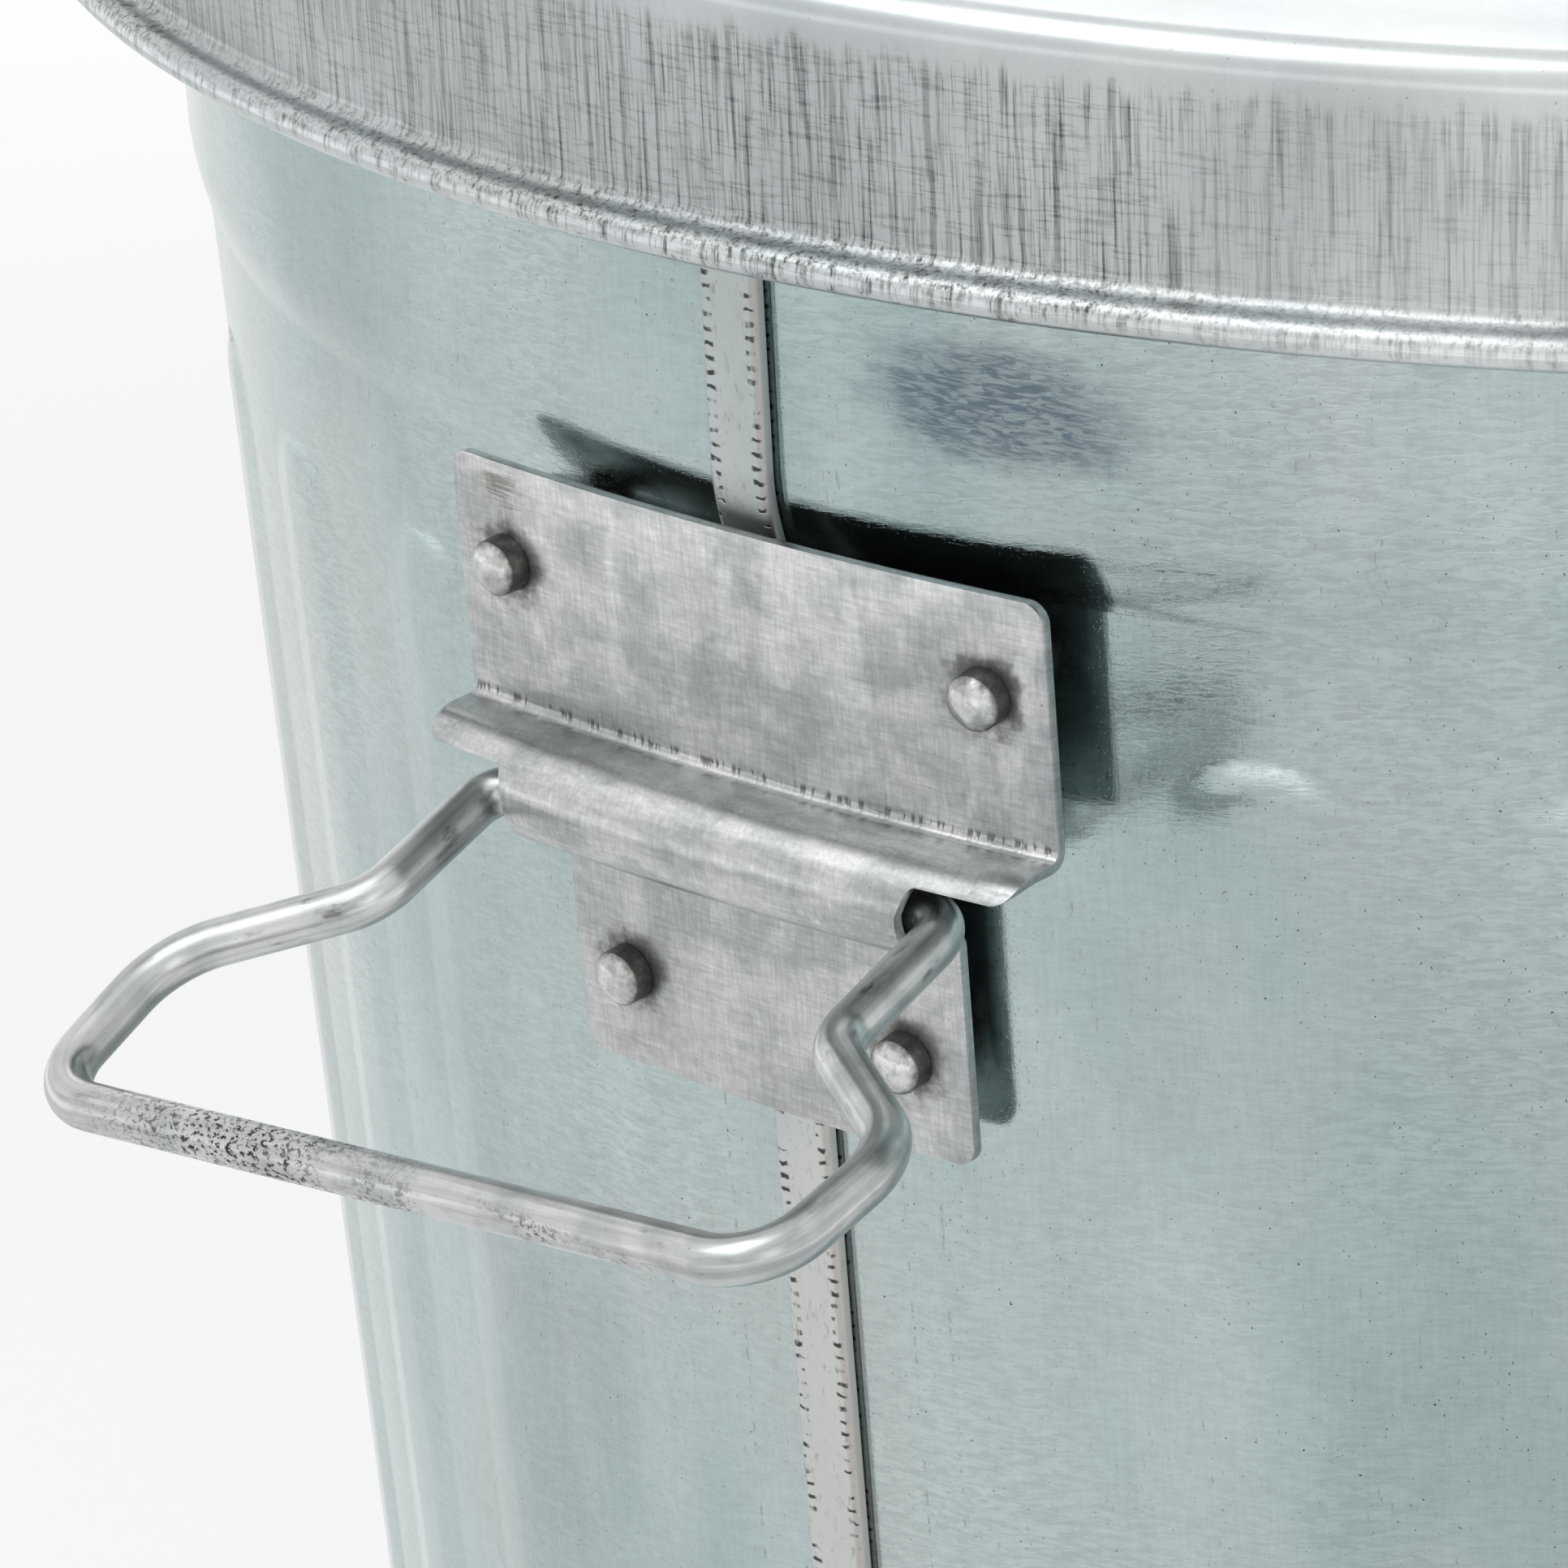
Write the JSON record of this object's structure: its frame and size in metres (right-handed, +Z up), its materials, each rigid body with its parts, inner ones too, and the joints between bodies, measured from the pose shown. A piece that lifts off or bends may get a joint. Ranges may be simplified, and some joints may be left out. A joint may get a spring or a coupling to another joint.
{
  "type": "galvanized trash can with lid",
  "caption": "Round tapered sheet steel trash can with ribbed wall, lock seams, riveted ear plates with wire bails, and a loose lid with rolled edge and strap handle.",
  "frame": {"origin": "middle of the can's foot ring, on the floor", "axes": "+Z up along the can's axis, -X towards the ear plate whose bail stands out, +X towards the other ear plate"},
  "size_m": [0.5932, 0.5362, 0.6932],
  "materials": {
    "wall_sheet": "galvanized, satin, fine zinc spangle",
    "pan_sheet": "galvanized, satin",
    "ear_plate": "hot galvanized, mottled",
    "rivet": "galvanized, dull",
    "bail_wire": "hot galvanized wire, pale and uneven",
    "lid_sheet": "galvanized, satin, drawn",
    "strap": "galvanized, satin"
  },
  "bodies": {
    "can": {"body_sheet_front": "wall_sheet", "body_sheet_rear": "wall_sheet", "bottom_pan": "pan_sheet", "ear_plate_left": "ear_plate", "ear_plate_right": "ear_plate", "ear_rivets_left": "rivet", "ear_rivets_right": "rivet"},
    "bail_left": {"bail_left": "bail_wire"},
    "bail_right": {"bail_right": "bail_wire"},
    "lid": {"lid_shell": "lid_sheet", "lid_handle": "strap", "lid_handle_rivets": "rivet"}
  },
  "joints": [
    {"name": "bail_left_swing", "type": "hinge", "parent": "can", "child": "bail_left", "pos_m": [-0.25173, 0, 0.4958], "axis": [0, 1, 0], "range_deg": [-78, 33]},
    {"name": "bail_right_swing", "type": "hinge", "parent": "can", "child": "bail_right", "pos_m": [0.25173, 0, 0.4958], "axis": [0, -1, 0], "range_deg": [-7.4, 103.6]},
    {"name": "lid_lift", "type": "slide", "parent": "can", "child": "lid", "axis": [0, 0, 1], "range_m": [0, 0.12]}
  ]
}
